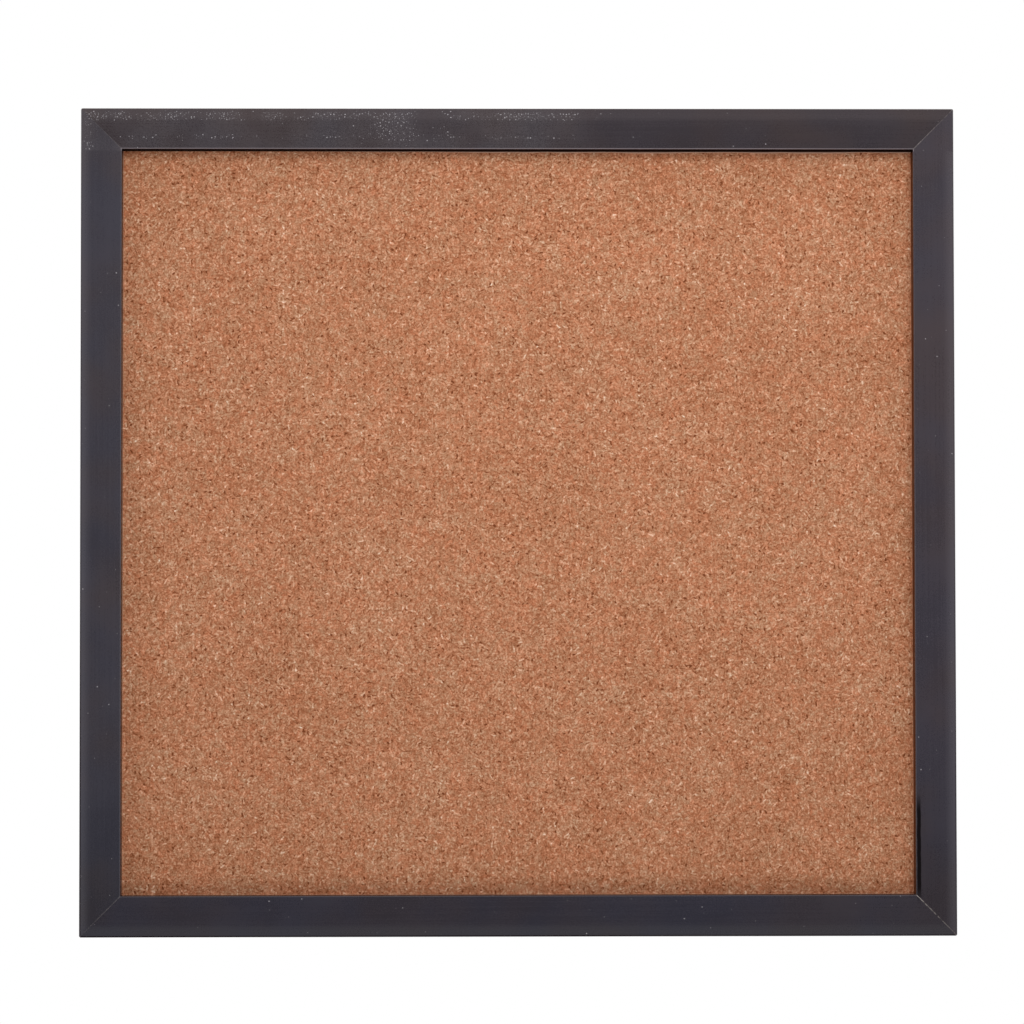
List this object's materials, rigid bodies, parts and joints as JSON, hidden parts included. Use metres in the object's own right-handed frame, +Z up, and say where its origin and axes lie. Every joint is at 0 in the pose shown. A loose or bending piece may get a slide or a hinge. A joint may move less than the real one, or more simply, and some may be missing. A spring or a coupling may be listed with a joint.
{
  "type": "cork bulletin board",
  "caption": "Nearly square cork pin board in a narrow charcoal mitred frame, with a hardboard back and a swinging D-ring hanger on each stile.",
  "frame": {"origin": "midway between the two D-ring pivots, in the plane of the frame's back", "axes": "+X to the right as seen from the front, +Y out of the back towards the wall, +Z up; the cork faces -Y"},
  "size_m": [0.3556, 0.0225, 0.3366],
  "materials": {
    "film_wrap": "MDF moulding wrapped in charcoal film, satin",
    "cork": "fine agglomerated cork, sanded, matt",
    "fibreboard": "soft grey-brown fibreboard, matt",
    "hardboard": "brown hardboard, smooth side out",
    "bright_steel": "plain drawn and stamped steel",
    "zinc_steel": "bright zinc plate"
  },
  "bodies": {
    "board": {"top_rail": "film_wrap", "bottom_rail": "film_wrap", "left_stile": "film_wrap", "right_stile": "film_wrap", "cork_sheet": "cork", "core_board": "fibreboard", "back_panel": "hardboard", "v_nail_top_left_outer": "bright_steel", "v_nail_top_left_inner": "bright_steel", "v_nail_top_right_outer": "bright_steel", "v_nail_top_right_inner": "bright_steel", "v_nail_bottom_left_outer": "bright_steel", "v_nail_bottom_left_inner": "bright_steel", "v_nail_bottom_right_outer": "bright_steel", "v_nail_bottom_right_inner": "bright_steel", "framer_point_top_1": "bright_steel", "framer_point_top_2": "bright_steel", "framer_point_top_3": "bright_steel", "framer_point_right_1": "bright_steel", "framer_point_right_2": "bright_steel", "framer_point_right_3": "bright_steel", "framer_point_bottom_1": "bright_steel", "framer_point_bottom_2": "bright_steel", "framer_point_bottom_3": "bright_steel", "framer_point_left_1": "bright_steel", "framer_point_left_2": "bright_steel", "framer_point_left_3": "bright_steel", "left_hanger_strap": "zinc_steel", "left_hanger_screw": "zinc_steel", "right_hanger_strap": "zinc_steel", "right_hanger_screw": "zinc_steel"},
    "left_ring": {"left_d_ring": "bright_steel"},
    "right_ring": {"right_d_ring": "bright_steel"}
  },
  "joints": [
    {"name": "left_ring_swing", "type": "hinge", "parent": "board", "child": "left_ring", "pos_m": [-0.1712, 0.00172, 0], "axis": [1, 0, 0], "range_deg": [0, 174]},
    {"name": "right_ring_swing", "type": "hinge", "parent": "board", "child": "right_ring", "pos_m": [0.1712, 0.00172, 0], "axis": [1, 0, 0], "range_deg": [0, 174]}
  ]
}
